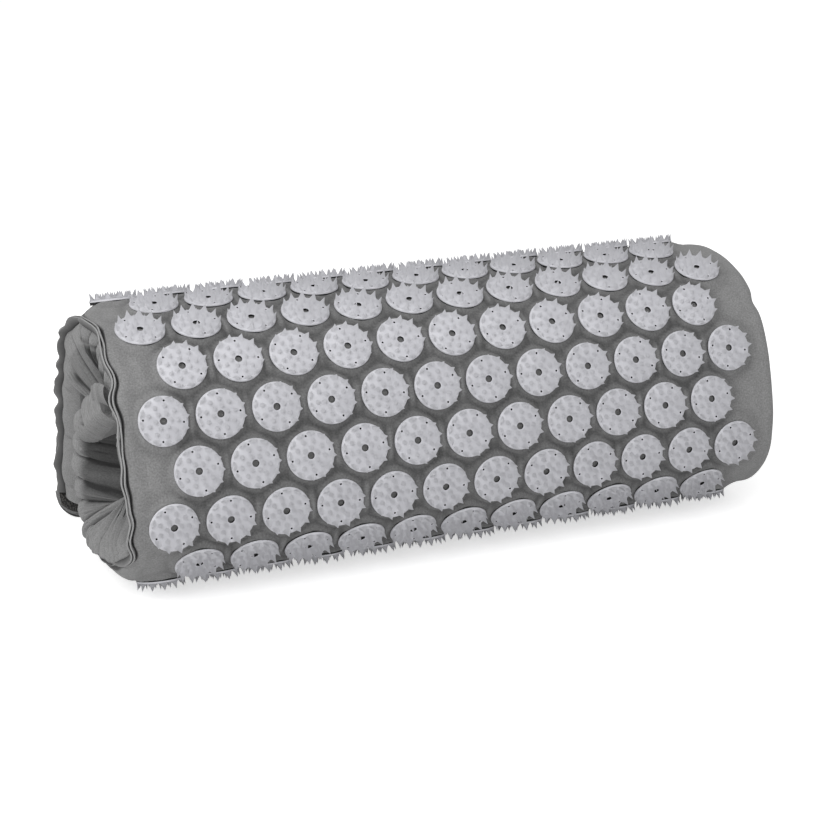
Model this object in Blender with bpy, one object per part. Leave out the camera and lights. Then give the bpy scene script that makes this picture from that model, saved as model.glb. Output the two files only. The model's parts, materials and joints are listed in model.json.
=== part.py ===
"""Rolled acupressure mat: a foam slab in a sewn cotton cover, with rows of spiked plastic discs on its face.

The mat lies rolled up with its discs outside. It is built row by row from one row at the bottom of
the roll, which rests on the floor. Every further row hangs on its neighbour by a bend line along X,
so turning all bends back by their own angle lays the mat out flat. A closing flap with a hook tape
hangs at the tail end, where the foam goes in. Metres, +Z up, X along the roll.
"""

import math

import bmesh
import bpy

MM = 0.001

# Discs and their rows
discs_in_long_row = 12
discs_in_short_row = 11
disc_spacing = 33.0 * MM
row_spacing = 29.8 * MM
disc_diameter = 28.5 * MM
disc_plate_thickness = 1.5 * MM
spike_height = 4.5 * MM
spike_base = 3.0 * MM
spike_circle_share = 0.94
spikes_on_disc = 5
disc_root_in_cloth = 0.5 * MM

# Cover, foam and tape
cloth_thickness = 1.2 * MM
foam_thickness = 19.6 * MM
side_margin = 5.25 * MM
foam_side_gap = 3.5 * MM
seam_lip = 4.5 * MM
gather_bulge = 7.5 * MM
crease_bulge = 3.0 * MM
side_lean = 2.0 * MM
tail_hem = 48.5 * MM
inner_hem = 24.0 * MM
foam_end_inset = 5.0 * MM
flap_length = 17.5 * MM
flap_corner_radius = 8.0 * MM
flap_corner_steps = 3
tape_width = 12.0 * MM
tape_thickness = 1.2 * MM
tape_side_inset = 12.0 * MM
clearance = 0.3 * MM

# Lean of each row in the roll, from the tail to the inner end, in degrees:
# 0 hangs straight down, 90 comes towards the front, -90 lies under the roll
row_lean_angles = (
    168, 168, 150, 128, 107, 86, 71.3, 43.5, 22.5, 14.7,
    -1.7, -37.7, -74, -86, -90, -136, -174, -196, -240, -240,
)
right_angle = 90
flap_droop_angle = 42.0

# The stitching runs beside the outermost discs, and the foam fits between the two side seams
stitch_half_width = (discs_in_long_row - 1) / 2 * disc_spacing + disc_diameter / 2 + side_margin
foam_half_width = stitch_half_width - foam_side_gap

# The bend lines run in the layer between the face cloth and the foam
bend_depth = cloth_thickness + clearance
back_depth = bend_depth + foam_thickness + clearance + cloth_thickness


def material(name, colour, roughness):
    """A plain Principled material."""
    made = bpy.data.materials.new(name)
    made.use_nodes = True
    shader = made.node_tree.nodes["Principled BSDF"]
    shader.inputs["Base Color"].default_value = (*colour, 1)
    shader.inputs["Roughness"].default_value = roughness
    return made


def mesh_from(name, bm, closed=True):
    """A mesh from a bmesh, which is used up; a closed body's faces are turned outward."""
    if closed:
        bmesh.ops.recalc_face_normals(bm, faces=bm.faces)
    mesh = bpy.data.meshes.new(name)
    bm.to_mesh(mesh)
    bm.free()
    return mesh


def prism(name, outline, half_width):
    """A (y, z) outline drawn out along X, the same distance to both sides."""
    bm = bmesh.new()
    face = bm.faces.new([bm.verts.new((-half_width, y, z)) for y, z in outline])
    drawn = bmesh.ops.extrude_face_region(bm, geom=[face])
    corners = [v for v in drawn["geom"] if isinstance(v, bmesh.types.BMVert)]
    bmesh.ops.translate(bm, vec=(2 * half_width, 0, 0), verts=corners)
    return mesh_from(name, bm)


def place(name, mesh, parent, shade, y=0.0):
    """An object of the mesh under a parent, y along the mat from the parent's bend line."""
    made = bpy.data.objects.new(name, mesh)
    bpy.context.collection.objects.link(made)
    made.parent = parent
    made.location.y = y
    if not mesh.materials:
        mesh.materials.append(shade)
    return made


def disc_centres(row):
    """X of each disc in a row; long and short rows take turns, so the discs are staggered."""
    count = discs_in_long_row if row % 2 else discs_in_short_row
    return [(i - (count - 1) / 2) * disc_spacing for i in range(count)]


def spiked_discs(centres):
    """One closed body for each disc: a plate with a slim spike inside every other corner of its rim."""
    bm = bmesh.new()
    radius = disc_diameter / 2
    bottom = bend_depth - disc_root_in_cloth
    top = bend_depth + disc_plate_thickness
    corners = 2 * spikes_on_disc

    def corner(x, k, reach, aside, height):
        """A vertex in the direction of the plate's corner k, moved aside along the rim."""
        a = 2 * math.pi * k / corners
        across = reach * math.sin(a) + aside * math.cos(a)
        along = aside * math.sin(a) - reach * math.cos(a)
        return bm.verts.new((x + across, along, height))

    for x in centres:
        low = [corner(x, k, radius, 0, bottom) for k in range(corners)]
        rim = [corner(x, k, radius, 0, top) for k in range(corners)]
        before = [corner(x, k, radius - spike_base, -spike_base / 2, top) for k in range(0, corners, 2)]
        after = [corner(x, k, radius - spike_base, spike_base / 2, top) for k in range(0, corners, 2)]
        bm.faces.new(low)
        for k in range(corners):
            bm.faces.new((low[k], low[k - 1], rim[k - 1], rim[k]))
        for i in range(spikes_on_disc):
            tip = corner(x, 2 * i, radius * spike_circle_share, 0, top + spike_height)
            base = (rim[2 * i], after[i], before[i])
            for j in range(len(base)):
                bm.faces.new((base[j - 1], base[j], tip))
            bm.faces.new((before[i], rim[2 * i], rim[2 * i - 1], rim[2 * i - 2], after[i - 1]))
        bm.faces.new([v for pair in zip(before, after) for v in pair])
    return mesh_from("spiked_discs", bm)


def joined(name, solid, others):
    """The union of a mesh with another mesh's bodies."""
    base = bpy.data.objects.new("base", solid)
    tool = bpy.data.objects.new("tool", others)
    for made in (base, tool):
        bpy.context.collection.objects.link(made)
    union = base.modifiers.new("union", "BOOLEAN")
    union.operation = "UNION"
    union.solver = "EXACT"
    union.object = tool
    bpy.context.view_layer.update()
    evaluated = base.evaluated_get(bpy.context.evaluated_depsgraph_get())
    mesh = bpy.data.meshes.new_from_object(evaluated)
    mesh.name = name
    for made in (base, tool):
        bpy.data.objects.remove(made)
    return mesh


def disc_row_mesh(row, to_tail, to_inner):
    """A strip of face cloth round one row, with the row's discs staked through it."""
    edge = clearance / 2
    bottom = bend_depth - cloth_thickness
    strip = prism(
        "face_strip",
        [
            (-to_inner + edge, bottom),
            (to_tail - edge, bottom),
            (to_tail - edge, bend_depth),
            (-to_inner + edge, bend_depth),
        ],
        stitch_half_width + seam_lip,
    )
    return joined("disc_row", strip, spiked_discs(disc_centres(row)))


def wedge_end(bend):
    """How fast a segment's end draws back with depth, so that two neighbours meet on their bisector."""
    return math.tan(math.radians(abs(bend)) / 2)


def foam_mesh(low, high, low_bend, high_bend):
    """A length of foam between two bend lines, narrower on the inside of the roll."""
    edge = clearance / 2
    low_face, high_face = low + edge, high - edge
    depth = foam_thickness
    outline = [
        (low_face, 0),
        (high_face, 0),
        (high_face - depth * wedge_end(high_bend), -depth),
        (low_face + depth * wedge_end(low_bend), -depth),
    ]
    return prism("foam_segment", outline, foam_half_width)


def cover_profile(bulge):
    """Half of the back cloth's section, as (x, depth under the bend line), from the seam lip inwards."""
    lip_back = cloth_thickness
    side_top = lip_back + foam_thickness / 4
    side_low = foam_thickness * 3 / 4
    back = back_depth - bend_depth
    return [
        (stitch_half_width + seam_lip, lip_back),
        (stitch_half_width, lip_back),
        (stitch_half_width + bulge, side_top),
        (stitch_half_width + bulge, side_low),
        (stitch_half_width + bulge / 2, back - side_lean),
        (foam_half_width + clearance, back),
    ]


def back_cloth(name, parent, shade, low, high, low_bend, high_bend, puffs):
    """The cover's back and sides over one segment: a sheet gathered into puffs at both sides."""
    edge = clearance / 2
    stations = 2 * puffs + 1
    bm = bmesh.new()
    rows = []
    for i in range(stations):
        share = i / (stations - 1)
        bulge = gather_bulge if i % 2 else crease_bulge
        half = cover_profile(bulge)
        section = half + [(-x, depth) for x, depth in reversed(half)]
        points = []
        for x, depth in section:
            start = low + edge + depth * wedge_end(low_bend)
            end = high - edge - depth * wedge_end(high_bend)
            points.append(bm.verts.new((x, start + (end - start) * share, -depth)))
        rows.append(points)
    for near, far in zip(rows, rows[1:]):
        for i in range(len(near) - 1):
            bm.faces.new((near[i], near[i + 1], far[i + 1], far[i]))
    made = place(name, mesh_from("back_cloth", bm, closed=False), parent, shade)
    cloth = made.modifiers.new("cloth", "SOLIDIFY")
    cloth.thickness = cloth_thickness
    cloth.offset = -1


def empty_at(name, parent, y, z, lean):
    """An empty on a bend line; lean turns what hangs on it about X, in degrees."""
    made = bpy.data.objects.new(name, None)
    made.empty_display_size = row_spacing / 2
    bpy.context.collection.objects.link(made)
    made.parent = parent
    made.location = (0, y, z)
    made.rotation_euler.x = math.radians(lean)
    return made


def segments():
    """The rows of each segment; the two rows at each end of the mat stay straight and share one."""
    rows = list(range(1, len(row_lean_angles) + 1))
    return [rows[:2]] + [[r] for r in rows[2:-2]] + [rows[-2:]]


def lean_of(rows):
    return row_lean_angles[rows[0] - 1]


def build_segment(number, rows, bend_line, low, shades, bends):
    """The disc rows, foam and back cloth of one segment, whose inner-end edge is at y = low."""
    low_bend, high_bend = bends
    high = low + len(rows) * row_spacing
    first, last = 1, len(row_lean_angles)
    for k, row in enumerate(reversed(rows)):
        centre = low + (k + 0.5) * row_spacing
        to_tail = tail_hem if row == first else row_spacing / 2
        to_inner = inner_hem if row == last else row_spacing / 2
        mesh = disc_row_mesh(row, to_tail, to_inner)
        place(f"disc_row_{row:02d}", mesh, bend_line, shades["disc"], centre)
    ends_tail, ends_inner = first in rows, last in rows
    cloth_high = high + (tail_hem - row_spacing / 2) * ends_tail
    cloth_low = low - (inner_hem - row_spacing / 2) * ends_inner
    foam = foam_mesh(
        cloth_low + foam_end_inset * ends_inner,
        cloth_high - foam_end_inset * ends_tail,
        low_bend,
        high_bend,
    )
    place(f"foam_segment_{number:02d}", foam, bend_line, shades["foam"])
    back_cloth(
        f"back_cloth_{number:02d}",
        bend_line,
        shades["cotton"],
        cloth_low,
        cloth_high,
        low_bend,
        high_bend,
        len(rows),
    )
    return cloth_high


def flap_mesh(half_width):
    """The flap's sheet, flat, with its two free corners rounded off."""
    turn = math.pi / 2 / flap_corner_steps
    corner = [i * turn for i in range(flap_corner_steps + 1)]
    inset = half_width - flap_corner_radius
    reach = flap_length - flap_corner_radius
    right = [
        (inset + flap_corner_radius * math.cos(a), reach + flap_corner_radius * math.sin(a))
        for a in corner
    ]
    outline = [(-half_width, 0), (half_width, 0)] + right + [(-x, y) for x, y in reversed(right)]
    half = cloth_thickness / 2
    bm = bmesh.new()
    face = bm.faces.new([bm.verts.new((x, y, -half)) for x, y in outline])
    drawn = bmesh.ops.extrude_face_region(bm, geom=[face])
    top = [v for v in drawn["geom"] if isinstance(v, bmesh.types.BMVert)]
    bmesh.ops.translate(bm, vec=(0, 0, cloth_thickness), verts=top)
    return mesh_from("closing_flap", bm)


def build_flap(tail_line, tail_edge, shades):
    """The closing flap at the tail's open end, drooping inwards, with hook tape on its inner face."""
    half = cloth_thickness / 2
    fold = empty_at("flap_fold_axis", tail_line, tail_edge + clearance + half, bend_depth - half, -flap_droop_angle)
    half_width = stitch_half_width + seam_lip
    place("closing_flap", flap_mesh(half_width), fold, shades["cotton"])
    tape_top = -half - clearance
    tape_start = (flap_length - tape_width) / 2
    tape = [
        (tape_start, tape_top - tape_thickness),
        (tape_start + tape_width, tape_top - tape_thickness),
        (tape_start + tape_width, tape_top),
        (tape_start, tape_top),
    ]
    place("hook_tape", prism("hook_tape", tape, half_width - tape_side_inset), fold, shades["tape"])


def stand_on_floor(root):
    """Moves the whole mat so that it is centred over the origin and its lowest spikes touch z = 0."""
    bpy.context.view_layer.update()
    solids = [o for o in bpy.data.objects if o.type == "MESH"]
    corners = [o.matrix_world @ v.co for o in solids for v in o.data.vertices]
    depths = [c.y for c in corners]
    root.location.y -= (min(depths) + max(depths)) / 2
    root.location.z -= min(c.z for c in corners)


def build_mat():
    """All segments, from the one under the roll out to both ends of the mat."""
    shades = {
        "disc": material("pale_grey_plastic", (0.48, 0.48, 0.52), 0.45),
        "cotton": material("grey_cotton", (0.17, 0.17, 0.17), 0.9),
        "foam": material("foam", (0.75, 0.72, 0.62), 0.95),
        "tape": material("hook_tape", (0.03, 0.03, 0.03), 0.8),
    }
    groups = segments()
    root_at = next(i for i, rows in enumerate(groups) if lean_of(rows) == -right_angle)
    leans = [lean_of(rows) for rows in groups]
    bends = [leans[i] - leans[i + 1] for i in range(len(groups) - 1)]

    def bends_of(i):
        """The bend at a segment's inner end and at its tail end."""
        return (bends[i] if i < len(bends) else 0, bends[i - 1] if i else 0)

    root = empty_at("root_segment_axis", None, 0, 0, right_angle - leans[root_at])
    root_start = -row_spacing / 2
    build_segment(root_at + 1, groups[root_at], root, root_start, shades, bends_of(root_at))
    line, reach = root, row_spacing / 2
    for i in range(root_at - 1, -1, -1):
        line = empty_at(f"bend_axis_{i + 1:02d}", line, reach, 0, -bends[i])
        tail_edge = build_segment(i + 1, groups[i], line, 0, shades, bends_of(i))
        reach = len(groups[i]) * row_spacing
    build_flap(line, tail_edge, shades)
    line, reach = root, -row_spacing / 2
    for i in range(root_at + 1, len(groups)):
        line = empty_at(f"bend_axis_{i:02d}", line, reach, 0, bends[i - 1])
        reach = -len(groups[i]) * row_spacing
        build_segment(i + 1, groups[i], line, reach, shades, bends_of(i))
    stand_on_floor(root)


def main():
    for old in list(bpy.data.objects):
        bpy.data.objects.remove(old)
    build_mat()


main()
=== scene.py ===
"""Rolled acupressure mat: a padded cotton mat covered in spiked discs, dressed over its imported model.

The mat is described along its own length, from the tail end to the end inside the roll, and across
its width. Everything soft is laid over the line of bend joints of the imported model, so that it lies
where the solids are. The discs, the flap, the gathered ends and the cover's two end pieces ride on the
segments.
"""

import json
import math
import random

import bmesh
import bpy
import numpy as np
from mathutils import Matrix, Vector

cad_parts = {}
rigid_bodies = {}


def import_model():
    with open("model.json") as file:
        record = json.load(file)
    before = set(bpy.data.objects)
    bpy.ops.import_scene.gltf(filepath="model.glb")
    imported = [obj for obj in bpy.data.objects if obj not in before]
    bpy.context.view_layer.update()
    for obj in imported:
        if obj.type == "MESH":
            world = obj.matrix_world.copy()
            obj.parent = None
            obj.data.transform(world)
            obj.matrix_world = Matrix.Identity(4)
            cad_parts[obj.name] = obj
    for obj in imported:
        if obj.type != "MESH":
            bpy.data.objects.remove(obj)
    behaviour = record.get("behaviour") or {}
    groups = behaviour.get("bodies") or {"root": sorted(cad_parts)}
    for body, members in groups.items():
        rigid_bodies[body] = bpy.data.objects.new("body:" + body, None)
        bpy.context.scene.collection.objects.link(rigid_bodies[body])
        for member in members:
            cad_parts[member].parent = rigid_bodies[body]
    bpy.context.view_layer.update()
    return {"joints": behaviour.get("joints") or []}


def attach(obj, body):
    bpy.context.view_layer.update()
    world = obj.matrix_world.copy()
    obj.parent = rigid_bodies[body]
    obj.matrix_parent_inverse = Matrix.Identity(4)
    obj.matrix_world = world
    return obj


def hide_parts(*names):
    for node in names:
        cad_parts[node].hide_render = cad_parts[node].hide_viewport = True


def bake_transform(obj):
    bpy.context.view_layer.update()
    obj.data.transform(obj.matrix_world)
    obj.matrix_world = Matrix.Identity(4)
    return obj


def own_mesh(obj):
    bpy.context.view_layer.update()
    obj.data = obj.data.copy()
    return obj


bl_info = {
    "name": "Rolled acupressure mat",
    "version": (1, 0, 0),
    "blender": (4, 5, 0),
    "location": "View3D > Sidebar > Mat",
    "description": "Dresses the packed model of a rolled acupressure mat in cloth and spiked discs",
    "category": "Object",
}

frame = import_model()

MM = 0.001
# The mat's rows of discs, and how many discs a long and a short row have
ROWS = 20
LONG_ROW = 12
SHORT_ROW = 11


# Colours

def linear(hex_colour):
    """An sRGB hex colour as linear red, green and blue."""
    channels = [int(hex_colour[i:i + 2], 16) / 255 for i in (0, 2, 4)]
    return tuple(c / 12.92 if c <= 0.04045 else ((c + 0.055) / 1.055) ** 2.4 for c in channels)


# Settings that a user would change

def length(name, description, millimetres):
    """A size setting, given in millimetres."""
    return bpy.props.FloatProperty(
        name=name, description=description, default=millimetres * MM, unit="LENGTH", precision=5)


def colour(name, description, hex_colour):
    """A colour setting, given as sRGB hex."""
    return bpy.props.FloatVectorProperty(
        name=name, description=description, default=linear(hex_colour), size=3, subtype="COLOR", min=0, max=1)


def power(name, description, watts):
    """A setting for how strong a lamp is."""
    return bpy.props.FloatProperty(name=name, description=description, default=watts, min=0, unit="POWER")


class MatDiscSettings(bpy.types.PropertyGroup):
    spacing: length("Disc spacing", "Distance between the discs of one row", 33)
    row_spacing: length("Row spacing", "Distance between two rows along the mat", 29.8)
    diameter: length("Disc diameter", "Across one disc's plate", 28.5)
    plate: length("Plate thickness", "Thickness of a disc's plate", 1.5)
    centre_hole: length("Centre hole", "Diameter of the hole in a disc's middle", 4.2)
    stake_hole: length("Stake hole", "Diameter of the four small holes", 1.3)
    spike_height: length("Spike height", "Height of a spike above the plate", 4.5)
    spike_base: length("Spike base", "Diameter of a spike's flared foot", 3.1)
    plastic: colour("Plastic", "Pale grey moulded plastic", "C4C4C9")


class MatClothSettings(bpy.types.PropertyGroup):
    half_width: length("Half width", "From the middle of the mat to its side seam", 201)
    face_height: length("Face height", "From the bend lines up to the face cloth", 1.5)
    back_depth: length("Back depth", "From the bend lines down to the back cloth", 21.1)
    back_half_width: length("Back half width", "From the middle to where the back turns up", 197)
    tail_hem: length("Tail hem", "Cloth beyond the first row's middle", 48.5)
    inner_hem: length("Inner hem", "Cloth beyond the last row's middle", 24)
    bend_round: length("Bend rounding", "Half of the length over which a bend is rounded", 13)
    quilt_sink: length("Quilt sink", "How far the cloth sinks between the discs", 1.9)
    lip_height: length("Seam lip", "How far the seam allowance stands above the face", 1.5)
    lip_thickness: length("Lip thickness", "Thickness of one layer of the seam allowance", 1.1)
    funnel_depth: length("Funnel depth", "How far the gathered ends sink in at the core", 26)
    cotton: colour("Cotton", "Heathered mid-grey cotton", "8C8C8C")
    cotton_dark: colour("Dark threads", "The darker threads in the cotton", "737373")
    hook_tape: colour("Hook tape", "Dark hook tape", "2B2A28")


class MatStageSettings(bpy.types.PropertyGroup):
    floor: colour("Floor", "Pale floor and backdrop", "F4F4F4")
    ambient: bpy.props.FloatProperty(
        name="Ambient", description="Strength of the light from all round", default=0.44, min=0)
    key: power("Key light", "Power of the large light above", 31)
    fill: power("Fill light", "Power of the softer light at the left", 2.6)
    front: power("Front light", "Power of the faint light in front", 2.6)


def discs():
    """The settings of the discs."""
    return bpy.context.scene.mat_discs


def cloth():
    """The settings of the cover and the flap."""
    return bpy.context.scene.mat_cloth


def stage():
    """The settings of the floor and the lights."""
    return bpy.context.scene.mat_stage


# Nodes and materials

def add_node(tree, kind, values=None, links=None):
    """Adds a node, sets its settings or sockets, and links other nodes' outputs to its sockets.

    A socket is given by its name, or by its number where several share a name.
    """
    node = tree.nodes.new(kind)
    for name, value in (values or {}).items():
        if isinstance(name, int) or name in node.inputs:
            node.inputs[name].default_value = value
        else:
            setattr(node, name, value)
    for name, output in (links or {}).items():
        tree.links.new(output, node.inputs[name])
    return node


def new_material(name):
    """An empty node material and its tree."""
    made = bpy.data.materials.get(name) or bpy.data.materials.new(name)
    made.use_nodes = True
    made.node_tree.nodes.clear()
    return made, made.node_tree


def opaque(values):
    """A colour with full alpha."""
    return (*values, 1)


def woven_cotton(name, warp, weft, lightness=1.0):
    """Plain-weave cotton from heathered yarn: dull, faintly fuzzy, with threads of two greys.

    Its colour carries painted shade: the crease_shade attribute darkens it in creases, hollows and gaps,
    where shade falls.
    Its threads are about 0.45 mm apart, too fine to show, so they are drawn 0.9 mm apart.
    """
    made, tree = new_material(name)
    place = add_node(tree, "ShaderNodeUVMap", {"uv_map": "cloth"})
    yarn = add_node(tree, "ShaderNodeTexNoise", {"Scale": 900, "Detail": 2, "Roughness": 0.6},
                    {"Vector": place.outputs["UV"]})
    slub = add_node(tree, "ShaderNodeTexNoise", {"Scale": 160, "Detail": 3, "Roughness": 0.55},
                    {"Vector": place.outputs["UV"]})
    weave = []
    for direction in ("X", "Y"):
        weave.append(add_node(
            tree, "ShaderNodeTexWave",
            {"wave_type": "BANDS", "bands_direction": direction, "Scale": 350, "Distortion": 0.6,
             "Detail": 1, "Detail Scale": 2},
            {"Vector": place.outputs["UV"]}))
    crossing = add_node(tree, "ShaderNodeMath", {"operation": "MAXIMUM"},
                        {0: weave[0].outputs["Fac"], 1: weave[1].outputs["Fac"]})
    speckle = add_node(tree, "ShaderNodeMapRange",
                       {"From Min": 0.32, "From Max": 0.68, "To Min": 0, "To Max": 1},
                       {"Value": yarn.outputs["Fac"]})
    threads = add_node(tree, "ShaderNodeMix",
                       {"data_type": "RGBA", 6: opaque([c * lightness for c in weft]),
                        7: opaque([c * lightness for c in warp])},
                       {0: speckle.outputs["Result"]})
    worn = add_node(tree, "ShaderNodeMapRange",
                    {"From Min": 0.3, "From Max": 0.7, "To Min": 0.94, "To Max": 1.06},
                    {"Value": slub.outputs["Fac"]})
    # Painted shade: the crease_shade attribute darkens the threads' colour down to 7 % in creases, hollows
    # and gaps
    crease = add_node(tree, "ShaderNodeAttribute", {"attribute_name": "crease_shade"})
    depth = add_node(tree, "ShaderNodeMapRange",
                     {"From Min": 0.0, "From Max": 1.0, "To Min": 1.0, "To Max": 0.07},
                     {"Value": crease.outputs["Fac"]})
    wear_and_painted_shade = add_node(tree, "ShaderNodeMath", {"operation": "MULTIPLY"},
                   {0: worn.outputs["Result"], 1: depth.outputs["Result"]})
    shade = add_node(tree, "ShaderNodeVectorMath", {"operation": "SCALE"},
                     {"Vector": threads.outputs[2], "Scale": wear_and_painted_shade.outputs["Value"]})
    rise = add_node(tree, "ShaderNodeBump", {"Strength": 0.25, "Distance": 0.0003},
                    {"Height": crossing.outputs["Value"]})
    fuzz = add_node(tree, "ShaderNodeBump", {"Strength": 0.35, "Distance": 0.0005},
                    {"Height": yarn.outputs["Fac"], "Normal": rise.outputs["Normal"]})
    shader = add_node(
        tree, "ShaderNodeBsdfPrincipled",
        {"Roughness": 0.92, "Specular IOR Level": 0.25, "Sheen Weight": 0.12, "Sheen Roughness": 0.6},
        {"Base Color": shade.outputs["Vector"], "Normal": fuzz.outputs["Normal"]})
    add_node(tree, "ShaderNodeOutputMaterial", None, {"Surface": shader.outputs["BSDF"]})
    return made


def moulded_plastic(name, tone):
    """Injection-moulded ABS: an even satin skin, slightly uneven from the mould.

    Light goes a few millimetres into it, which is drawn by the spikes' own softened shading.
    """
    made, tree = new_material(name)
    place = add_node(tree, "ShaderNodeTexCoord")
    skin = add_node(tree, "ShaderNodeTexNoise", {"Scale": 700, "Detail": 2},
                    {"Vector": place.outputs["Object"]})
    flow = add_node(tree, "ShaderNodeTexNoise", {"Scale": 60, "Detail": 2},
                    {"Vector": place.outputs["Object"]})
    tint = add_node(tree, "ShaderNodeMapRange",
                    {"From Min": 0.3, "From Max": 0.7, "To Min": 0.96, "To Max": 1.03},
                    {"Value": flow.outputs["Fac"]})
    shade = add_node(tree, "ShaderNodeVectorMath", {"operation": "SCALE", "Vector": tone},
                     {"Scale": tint.outputs["Result"]})
    matt = add_node(tree, "ShaderNodeMapRange",
                    {"From Min": 0.3, "From Max": 0.7, "To Min": 0.42, "To Max": 0.52},
                    {"Value": skin.outputs["Fac"]})
    bump = add_node(tree, "ShaderNodeBump", {"Strength": 0.08, "Distance": 0.0002},
                    {"Height": skin.outputs["Fac"]})
    shader = add_node(
        tree, "ShaderNodeBsdfPrincipled",
        {"IOR": 1.53},
        {"Base Color": shade.outputs["Vector"], "Roughness": matt.outputs["Result"],
         "Normal": bump.outputs["Normal"]})
    add_node(tree, "ShaderNodeOutputMaterial", None, {"Surface": shader.outputs["BSDF"]})
    return made


def hole_shade(name):
    """Painted shade for the inside of a moulded hole and the slit under a plate: near black, where hardly any
    light gets in.
    """
    made, tree = new_material(name)
    place = add_node(tree, "ShaderNodeTexCoord")
    grain = add_node(tree, "ShaderNodeTexNoise", {"Scale": 900, "Detail": 1},
                     {"Vector": place.outputs["Object"]})
    tone = add_node(tree, "ShaderNodeMapRange",
                    {"From Min": 0.3, "From Max": 0.7, "To Min": 0.006, "To Max": 0.014},
                    {"Value": grain.outputs["Fac"]})
    shader = add_node(tree, "ShaderNodeBsdfPrincipled", {"Roughness": 0.8},
                      {"Base Color": tone.outputs["Result"]})
    add_node(tree, "ShaderNodeOutputMaterial", None, {"Surface": shader.outputs["BSDF"]})
    return made


def hook_fastener(name, tone):
    """Woven nylon tape with rows of small hooks: dark, with painted pale glints where hooks catch the light.
    """
    made, tree = new_material(name)
    place = add_node(tree, "ShaderNodeTexCoord")
    hooks = add_node(tree, "ShaderNodeTexVoronoi", {"Scale": 700, "Randomness": 0.7},
                     {"Vector": place.outputs["Object"]})
    # Painted highlights: the colour is up to 4.5 times lighter near the hooks' centres
    painted_glint = add_node(tree, "ShaderNodeMapRange",
                     {"From Min": 0.0, "From Max": 0.55, "To Min": 4.5, "To Max": 0.6},
                     {"Value": hooks.outputs["Distance"]})
    shade = add_node(tree, "ShaderNodeVectorMath", {"operation": "SCALE", "Vector": tone},
                     {"Scale": painted_glint.outputs["Result"]})
    bump = add_node(tree, "ShaderNodeBump", {"Strength": 0.9, "Distance": 0.001, "invert": True},
                    {"Height": hooks.outputs["Distance"]})
    shader = add_node(tree, "ShaderNodeBsdfPrincipled", {"Roughness": 0.55},
                      {"Base Color": shade.outputs["Vector"], "Normal": bump.outputs["Normal"]})
    add_node(tree, "ShaderNodeOutputMaterial", None, {"Surface": shader.outputs["BSDF"]})
    return made


# How much lighter the cut edge of the seam allowance is drawn than the cloth
CUT_EDGE_LIGHTNESS = 1.15


def material_of(name):
    """Each finish by its name, made when it is first asked for."""
    found = bpy.data.materials.get(name)
    if found:
        return found
    c, d = cloth(), discs()
    makers = {
        "cotton_plain_weave": lambda n: woven_cotton(n, c.cotton, c.cotton_dark),
        "cotton_cut_edge": lambda n: woven_cotton(n, c.cotton, c.cotton, CUT_EDGE_LIGHTNESS),
        "abs_moulded": lambda n: moulded_plastic(n, d.plastic),
        "painted_hole_shade": hole_shade,
        "nylon_hook_tape": lambda n: hook_fastener(n, c.hook_tape),
    }
    return makers[name](name)


# The line of the mat through its bend joints

def segment_number(body):
    """The number at the end of a segment's name."""
    return int(body.rsplit("_", 1)[1])


class RollLine:
    """The layer of the bend lines, seen from the side: where it runs and which way its face looks."""

    def __init__(self):
        lines = {}
        for joint in frame["joints"]:
            if joint["name"] == "flap_fold":
                continue
            number = min(segment_number(joint["parent"]), segment_number(joint["child"]))
            lines[number] = (joint["pos_m"][1:], math.radians(joint["range_deg"][1]))
        self.count = len(lines)
        self.points = np.array([lines[k][0] for k in sorted(lines)])
        self.turns = [lines[k][1] for k in sorted(lines)]
        steps = np.diff(self.points, axis=0)
        headings = [math.atan2(-y, -z) for y, z in steps]
        leans = [headings[0] + self.turns[0]] + headings
        leans.append(headings[-1] - self.turns[-1])
        self.leans = np.unwrap(leans)
        self.along = np.stack([-np.sin(self.leans), -np.cos(self.leans)], axis=1)
        row = discs().row_spacing
        self.bend_at = (np.arange(self.count) + 1.5) * row
        self.start = -cloth().tail_hem
        self.end = (ROWS - 1) * row + cloth().inner_hem

    def at(self, s, reach=None):
        """Points (y, z) and unit normals of the line at distances s from the first row.

        The bends are rounded over reach on both sides, which may be one length or one for each point.
        """
        s = np.asarray(s, float)
        reach = np.broadcast_to(cloth().bend_round if reach is None else reach, s.shape)
        segment = np.searchsorted(self.bend_at, s)
        base = np.clip(segment - 1, 0, self.count - 1)
        points = self.points[base] + (s - self.bend_at[base])[..., None] * self.along[segment]
        tangents = self.along[segment].copy()
        nearest = np.abs(s[..., None] - self.bend_at).argmin(axis=-1)
        u = (s - self.bend_at[nearest] + reach) / (2 * reach)
        bent = (u > 0) & (u < 1)
        w = u[..., None]
        before, after = self.along[nearest], self.along[nearest + 1]
        corner = self.points[nearest]
        span = reach[..., None]
        rounded = corner - (1 - w) ** 2 * span * before + w ** 2 * span * after
        turned = (1 - w) * before + w * after
        points[bent] = rounded[bent]
        tangents[bent] = turned[bent]
        tangents /= np.linalg.norm(tangents, axis=-1, keepdims=True)
        normals = np.stack([tangents[..., 1], -tangents[..., 0]], axis=-1)
        return points, normals

    def lift(self, x, s, height, reach=None):
        """Points (x, y, z) at a height over the bend line layer."""
        points, normals = self.at(s, reach)
        flat = points + normals * np.asarray(height)[..., None]
        return np.stack([np.broadcast_to(x, flat.shape[:-1]), flat[..., 0], flat[..., 1]], axis=-1)


_line = []


def roll_line():
    """The mat's line, worked out when it is first asked for."""
    if not _line:
        _line.append(RollLine())
    return _line[0]


# Shape of the cloth

def smooth(value, low, high):
    """0 below low, 1 above high, and an easy slope between."""
    t = np.clip((value - low) / (high - low), 0, 1)
    return t * t * (3 - 2 * t)


def row_of(s):
    """Which row a distance along the mat is at: 1 at the middle of the first row, at s = 0."""
    return s / discs().row_spacing + 1


# What a sum of waves is divided by, so that it stays between about -1 and 1
WAVE_PEAK = 1.3


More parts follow.
